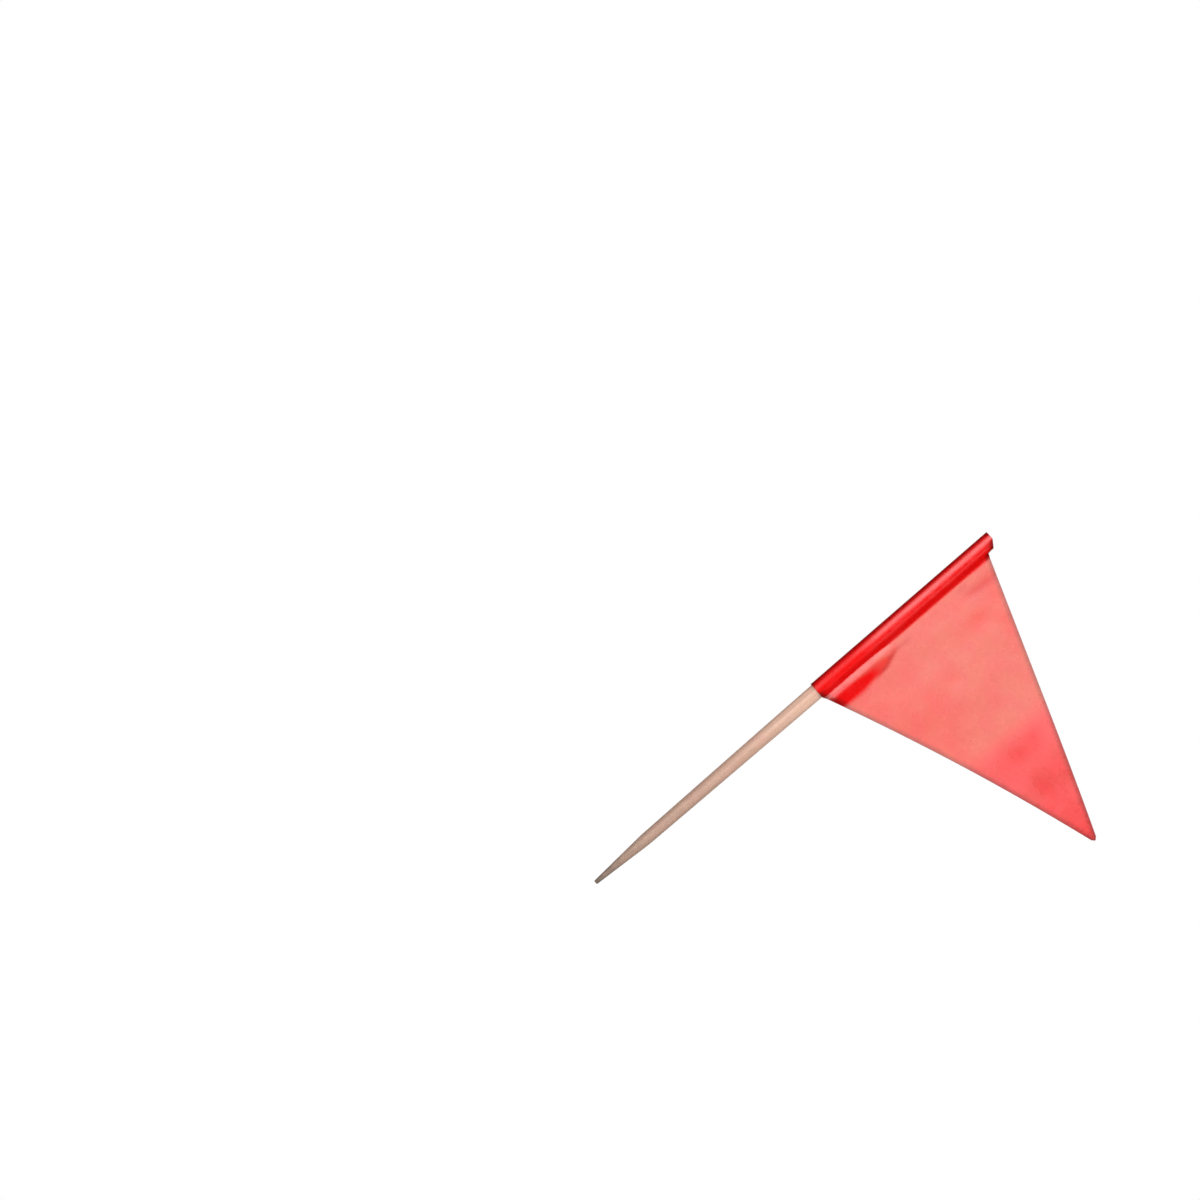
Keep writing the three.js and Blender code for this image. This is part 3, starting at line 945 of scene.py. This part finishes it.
def woodMaterial():
    material, tree, shader = newMaterial("pickWood")
    own = addNode(tree, "ShaderNodeTexCoord")
    placed = addNode(tree, "ShaderNodeVectorMath", operation="SCALE")
    placed.inputs["Scale"].default_value = 1 / mm
    join(tree, (own, "Object", placed, 0))
    place = (placed, 0)
    axes = addNode(tree, "ShaderNodeSeparateXYZ")
    join(tree, (*place, axes, "Vector"))

    # Lengthwise grain: broad streaks, fibres, and a pinker blush in places
    streaks = useGroup(tree, fibreGroup, place, **woodFinish["streaks"])
    fibres = useGroup(tree, fibreGroup, place, **woodFinish["fibres"])
    grain = mathNode(tree, "MULTIPLY_ADD", (fibres, "Value"), woodFinish["fibreShare"], (streaks, "Value"))
    share = mathNode(tree, "DIVIDE", (grain, 0), 1 + woodFinish["fibreShare"])
    colour = mixColours(tree, (share, 0), woodFinish["light"], woodFinish["dark"])
    warm = useGroup(tree, mottleGroup, place, **woodFinish["blushSpots"])
    warmed = mathNode(tree, "MULTIPLY", (warm, "Value"), woodFinish["blushShare"])
    colour = mixColours(tree, (warmed, 0), colour, woodFinish["blush"])

    # The wood darkens and greys towards the point
    darkToPoint = addNode(tree, "ShaderNodeMapRange", woodFinish["darkToPointFrom"])
    point = addNode(tree, "ShaderNodeMapRange", woodFinish["nearPointDarkFrom"])
    patchy = useGroup(tree, mottleGroup, place, **woodFinish["darkToPointSpots"])
    join(tree, (axes, "Z", darkToPoint, "Value"), (axes, "Z", point, "Value"))
    uneven = mathNode(tree, "MULTIPLY_ADD", (patchy, "Value"), *woodFinish["darkToPointUneven"])
    both = mathNode(tree, "ADD", (darkToPoint, "Result"), (point, "Result"))
    pointDarkShare = mathNode(tree, "MULTIPLY", (both, 0), (uneven, 0))
    pointDarkShare.use_clamp = True
    colour = mixColours(tree, (pointDarkShare, 0), colour, woodFinish["darkToPoint"])

    # End grain on both cut ends: paler wood between growth bands, with open pores
    bands = addNode(tree, "ShaderNodeTexWave", woodFinish["growthBands"])
    pores = addNode(tree, "ShaderNodeTexVoronoi", woodFinish["pores"])
    join(tree, (*place, bands, "Vector"), (*place, pores, "Vector"))
    openPores = addNode(tree, "ShaderNodeMapRange", woodFinish["poreWall"])
    join(tree, (pores, "Distance", openPores, "Value"))
    banded = mathNode(tree, "MULTIPLY", (bands, "Fac"), woodFinish["bandShare"])
    face = mixColours(tree, (banded, 0), woodFinish["endGrain"], woodFinish["dark"])
    face = mixColours(tree, (openPores, "Result"), face, woodFinish["pore"])
    fromEnd = mathNode(tree, "SUBTRACT", pick["length"], (axes, "Z"))
    nearest = mathNode(tree, "MINIMUM", (fromEnd, 0), (axes, "Z"))
    atEnd = addNode(tree, "ShaderNodeMapRange", woodFinish["endFace"])
    join(tree, (nearest, 0, atEnd, "Value"))
    colour = mixColours(tree, (atEnd, "Result"), colour, face)

    # Bruised, darker corner round each cut end
    corner = useGroup(tree, cutEdgeGroup, place, Distance=(nearest, 0), **woodFinish["bruise"])
    bruised = mathNode(tree, "MULTIPLY", (corner, "Mask"), woodFinish["bruiseShare"])
    colour = mixColours(tree, (bruised, 0), colour, woodFinish["pore"])
    # Painted shade at the pick's sides, where it is seen at a grazing angle
    colour = paintGrazingShade(tree, colour, woodFinish["grazingShade"], woodFinish["grazingShare"])
    join(tree, (*colour, shader, "Base Color"))

    low, high = woodFinish["roughness"]
    roughness = addNode(tree, "ShaderNodeMapRange", {"To Min": low, "To Max": high})
    fine = useGroup(tree, fibreGroup, place, **woodFinish["fineFibres"])
    relief = mathNode(tree, "MULTIPLY_ADD", (fine, "Value"), woodFinish["fineShare"], (fibres, "Value"))
    bump = addNode(tree, "ShaderNodeBump", {"Strength": 1.0, "Distance": woodFinish["relief"] * mm})
    bump.invert = True
    join(tree, (fibres, "Value", roughness, "Value"), (roughness, "Result", shader, "Roughness"),
         (relief, 0, bump, "Height"), (bump, "Normal", shader, "Normal"))
    shader.inputs["Specular IOR Level"].default_value = woodFinish["specular"]
    return material


def dress(piece, material, node):
    piece.data.materials.clear()
    piece.data.materials.append(material)
    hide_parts(node)
    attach(piece, "root")


dress(turnedPick, woodMaterial(), "wooden_pick")
dress(flagFilm, filmMaterial(), "flag_sheet")
dress(adhesiveCoat, adhesiveMaterial(), "adhesive_coat")
flatWidth, flatHeight, flatArea = flatSheetSize()
print("materials on")


# Light, metres and degrees: softboxes, and dark cards that only the gloss sees. Azimuth 0 is the camera's
# side, and it grows to the right.
softboxes = {
    "keySoftbox": {"azimuth": -32, "elevation": 6, "distance": 0.7, "size": (0.58, 0.9), "radiance": 1.88},
    "edgeStrip": {"azimuth": -36, "elevation": 4, "distance": 0.66, "size": (0.15, 0.9), "radiance": 0.6},
    "frontStrip": {"azimuth": 46, "elevation": 0, "distance": 0.42, "size": (0.06, 0.7), "radiance": 1.0},
    "fillSoftbox": {"azimuth": 28, "elevation": 52, "distance": 0.7, "size": (0.8, 0.8), "radiance": 2.6},
    "backSoftbox": {"azimuth": 160, "elevation": 30, "distance": 0.8, "size": (0.8, 0.8), "radiance": 2.0},
}
darkCards = {
    "rightCard": {"azimuth": 68, "distance": 0.5, "size": (1.7, 0.8)},
    "leftCard": {"azimuth": -112, "distance": 0.5, "size": (0.84, 0.8)},
}
worldLevel = 0.1


def lookFrom(azimuth, elevation, distance):
    azimuth, elevation = math.radians(azimuth), math.radians(elevation)
    towards = Vector((math.sin(azimuth) * math.cos(elevation),
                      -math.cos(azimuth) * math.cos(elevation), math.sin(elevation)))
    place = (cadLow + cadHigh) / 2 + towards * distance
    return place, towards.to_track_quat("Z", "Y").to_euler()


def addSoftbox(name, box):
    place, facing = lookFrom(box["azimuth"], box["elevation"], box["distance"])
    bpy.ops.object.light_add(type="AREA", location=place, rotation=facing)
    lamp = bpy.context.object
    lamp.name = name
    lamp.data.shape = "RECTANGLE"
    lamp.data.size, lamp.data.size_y = box["size"]
    lamp.data.energy = box["radiance"] * box["size"][0] * box["size"][1] * math.pi
    lamp.visible_camera = False


def addDarkCard(name, card):
    deselectAll()
    place, facing = lookFrom(card["azimuth"], 0, card["distance"])
    bpy.ops.mesh.primitive_plane_add(size=1, location=place, rotation=facing)
    piece = bpy.context.object
    piece.name = name
    piece.scale = (*card["size"], 1)
    material, tree, shader = newMaterial("cardBlack")
    shader.inputs["Base Color"].default_value = (0.01, 0.01, 0.01, 1)
    shader.inputs["Roughness"].default_value = 1.0
    shader.inputs["Specular IOR Level"].default_value = 0.0
    piece.data.materials.append(material)
    piece.visible_camera = False
    piece.visible_diffuse = False
    piece.visible_shadow = False
    piece.visible_transmission = False


def seenDirectly(tree):
    # 1 for camera, glossy and transmission rays, which show the white background
    path = tree.nodes.new("ShaderNodeLightPath")
    first = mathNode(tree, "MAXIMUM", (path, "Is Camera Ray"), (path, "Is Glossy Ray"))
    return mathNode(tree, "MAXIMUM", (first, 0), (path, "Is Transmission Ray"))


def addFloor():
    deselectAll()
    bpy.ops.mesh.primitive_circle_add(vertices=floorShape["sides"], radius=floorShape["radius"] * mm,
                                      fill_type="NGON", location=(0, 0, floorShape["height"] * mm))
    floor = bpy.context.object
    floor.name = "paleFloor"
    material, tree, shader = newMaterial("paleFloor")
    tone = floorShape["tone"]
    shader.inputs["Base Color"].default_value = (tone, tone, tone, 1)
    shader.inputs["Roughness"].default_value = floorShape["roughness"]
    own = addNode(tree, "ShaderNodeTexCoord")
    distance = addNode(tree, "ShaderNodeVectorMath", operation="LENGTH")
    fade = addNode(tree, "ShaderNodeMapRange", {"From Min": floorShape["plainTo"] * mm,
                                                "From Max": floorShape["whiteFrom"] * mm})
    fade.interpolation_type = "SMOOTHSTEP"
    join(tree, (own, "Object", distance, 0), (distance, "Value", fade, "Value"))
    seen = mathNode(tree, "MULTIPLY", (seenDirectly(tree), 0), (fade, "Result"))
    white = addNode(tree, "ShaderNodeEmission", {"Color": (1, 1, 1, 1), "Strength": 1.0})
    mix = tree.nodes.new("ShaderNodeMixShader")
    output = tree.nodes["Material Output"]
    join(tree, (seen, 0, mix, 0), (shader, "BSDF", mix, 1), (white, "Emission", mix, 2),
         (mix, 0, output, "Surface"))
    floor.data.materials.append(material)


def setWorld():
    world = bpy.data.worlds.new("studio")
    scene.world = world
    world.use_nodes = True
    tree = world.node_tree
    background = tree.nodes["Background"]
    background.inputs["Color"].default_value = (1, 1, 1, 1)
    level = addNode(tree, "ShaderNodeMapRange", {"To Min": worldLevel, "To Max": 1.0})
    join(tree, (seenDirectly(tree), 0, level, "Value"), (level, "Result", background, "Strength"))


for name, box in softboxes.items():
    addSoftbox(name, box)
for name, card in darkCards.items():
    addDarkCard(name, card)
addFloor()
setWorld()
scene.view_settings.view_transform = "Standard"
print("light and floor set")
